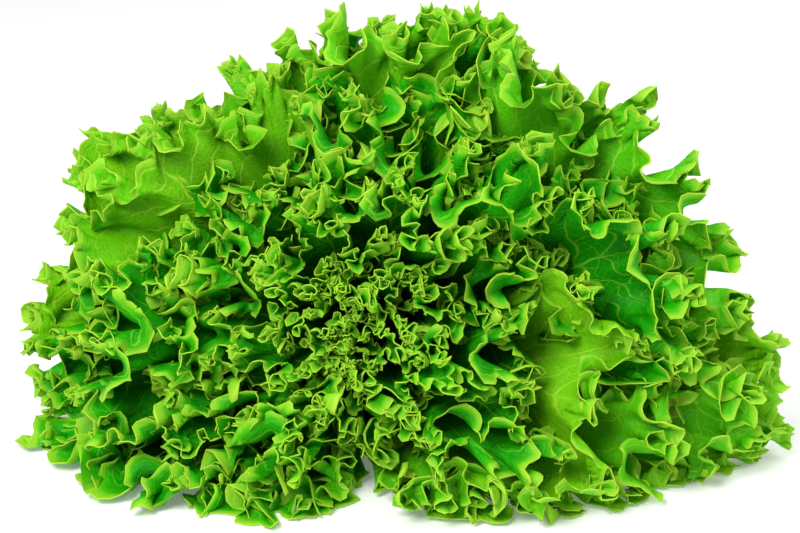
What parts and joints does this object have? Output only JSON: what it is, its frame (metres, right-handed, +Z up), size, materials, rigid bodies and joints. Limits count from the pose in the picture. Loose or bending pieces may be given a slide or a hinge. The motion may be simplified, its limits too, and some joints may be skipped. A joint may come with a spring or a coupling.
{
  "type": "head of lettuce",
  "caption": "Head of curly loose-leaf lettuce, cut at the stem and lying on its side, with frilled leaves in a rosette round the heart.",
  "frame": {"origin": "centre of the box on the surface that the head lies on", "axes": "+X along the wide side of the fan of leaves, +Z up; the crown faces -Y and the cut stem lies at the back, at +Y"},
  "size_m": [0.3378, 0.197, 0.1854],
  "materials": {
    "leaf": "fresh leaf, soft sheen",
    "stem": "pale wet stem, cut face"
  },
  "bodies": {
    "root": {"leaf_01": "leaf", "leaf_02": "leaf", "leaf_03": "leaf", "leaf_04": "leaf", "leaf_05": "leaf", "leaf_06": "leaf", "leaf_07": "leaf", "leaf_08": "leaf", "leaf_09": "leaf", "leaf_10": "leaf", "leaf_11": "leaf", "leaf_12": "leaf", "leaf_13": "leaf", "leaf_14": "leaf", "leaf_15": "leaf", "leaf_16": "leaf", "leaf_17": "leaf", "leaf_18": "leaf", "leaf_19": "leaf", "leaf_20": "leaf", "leaf_21": "leaf", "leaf_22": "leaf", "leaf_23": "leaf", "leaf_24": "leaf", "leaf_25": "leaf", "leaf_26": "leaf", "leaf_27": "leaf", "leaf_28": "leaf", "leaf_29": "leaf", "leaf_30": "leaf", "leaf_31": "leaf", "leaf_32": "leaf", "leaf_33": "leaf", "leaf_34": "leaf", "leaf_35": "leaf", "leaf_36": "leaf", "leaf_37": "leaf", "leaf_38": "leaf", "leaf_39": "leaf", "leaf_40": "leaf", "leaf_41": "leaf", "leaf_42": "leaf", "stem": "stem"}
  },
  "joints": []
}
